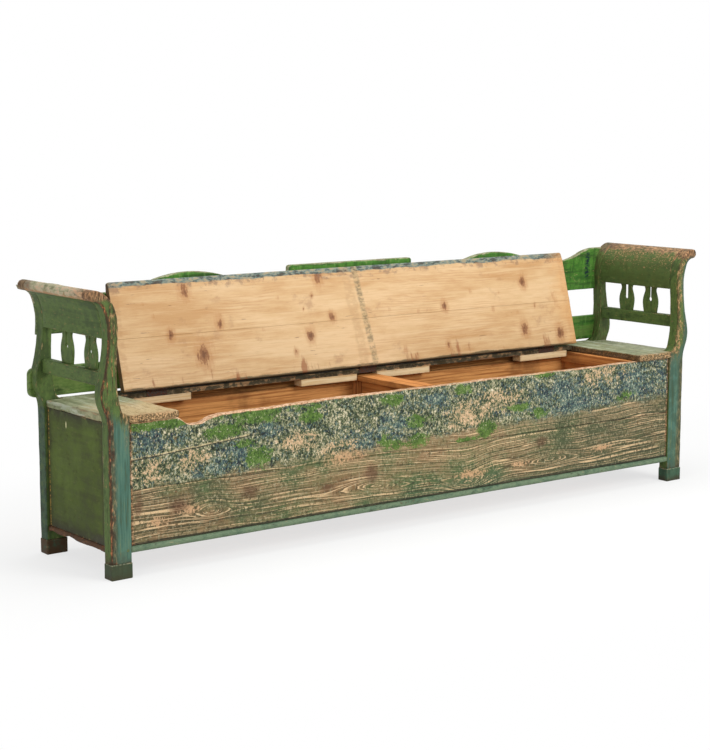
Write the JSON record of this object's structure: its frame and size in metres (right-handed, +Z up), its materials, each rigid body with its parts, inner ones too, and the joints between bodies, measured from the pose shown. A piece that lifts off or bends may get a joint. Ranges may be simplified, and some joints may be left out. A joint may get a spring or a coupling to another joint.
{
  "type": "pull-out bench bed",
  "caption": "Long painted pine settle with scrolled ends, splats in the arms, a shaped back, a hinged seat lid shown open, and a bed box that slides out to the front.",
  "frame": {"origin": "on the floor, at the middle of the bench's length and depth", "axes": "+X to the right end seen from the front, +Y to the back, +Z up"},
  "size_m": [2.411, 0.438, 0.815],
  "materials": {
    "green_paint": "old green paint on pine, worn at the edges",
    "blue_green_paint": "old blue-green paint on pine, worn through in places",
    "worn_paint": "green and blue paint worn down to the pine",
    "seat_paint": "pale worn green paint on pine",
    "lid_pine": "bare oiled pine with knots",
    "aged_pine": "bare aged pine",
    "new_pine": "bare sawn pine",
    "peg_pine": "worn wooden pegs",
    "old_iron": "dull dark iron"
  },
  "bodies": {
    "frame": {"arm_crest_left": "green_paint", "arm_crest_right": "green_paint", "arm_rail_left": "green_paint", "arm_rail_right": "green_paint", "arm_splat_back_left": "green_paint", "arm_splat_back_right": "green_paint", "arm_splat_front_left": "green_paint", "arm_splat_front_right": "green_paint", "back_lower_rail": "green_paint", "back_upper_rail": "green_paint", "box_runner_centre": "aged_pine", "box_runner_left": "aged_pine", "box_runner_right": "aged_pine", "end_bottom_rail_left": "green_paint", "end_bottom_rail_right": "green_paint", "end_panel_left": "green_paint", "end_panel_right": "green_paint", "foot_back_left": "blue_green_paint", "foot_back_right": "blue_green_paint", "foot_front_left": "blue_green_paint", "foot_front_right": "blue_green_paint", "frame_nails": "old_iron", "frame_pegs": "peg_pine", "front_bottom_rail": "blue_green_paint", "hinge_leaves_frame": "old_iron", "hinge_screws_frame": "old_iron", "post_back_left": "green_paint", "post_back_right": "green_paint", "post_front_left": "blue_green_paint", "post_front_right": "blue_green_paint", "rear_bottom_rail": "green_paint", "rear_panel": "aged_pine", "rear_top_rail": "aged_pine", "seat_batten_inner_left": "new_pine", "seat_batten_inner_right": "new_pine", "seat_batten_outer_left": "new_pine", "seat_batten_outer_right": "new_pine", "seat_end_board_left": "seat_paint", "seat_end_board_right": "seat_paint", "seat_rear_strip": "green_paint"},
    "lid": {"hinge_leaves_lid": "old_iron", "hinge_pins": "old_iron", "hinge_screws_lid": "old_iron", "lid_front_board": "lid_pine", "lid_rear_board": "lid_pine"},
    "bed_box": {"box_back": "aged_pine", "box_bearer": "aged_pine", "box_bottom_board_1": "aged_pine", "box_bottom_board_2": "aged_pine", "box_bottom_board_3": "aged_pine", "box_divider": "aged_pine", "box_divider_strip_left": "aged_pine", "box_divider_strip_right": "aged_pine", "box_end_cleat_left": "aged_pine", "box_end_cleat_right": "aged_pine", "box_end_left": "aged_pine", "box_end_right": "aged_pine", "box_front_lower": "worn_paint", "box_front_upper": "worn_paint", "box_nails": "old_iron"}
  },
  "joints": [
    {"name": "lid_hinge", "type": "hinge", "parent": "frame", "child": "lid", "pos_m": [0, 0.113, 0.4665], "axis": [1, 0, 0], "range_deg": [0, 105.3]},
    {"name": "box_slide", "type": "slide", "parent": "frame", "child": "bed_box", "axis": [0, -1, 0], "range_m": [0, 0.3]}
  ]
}
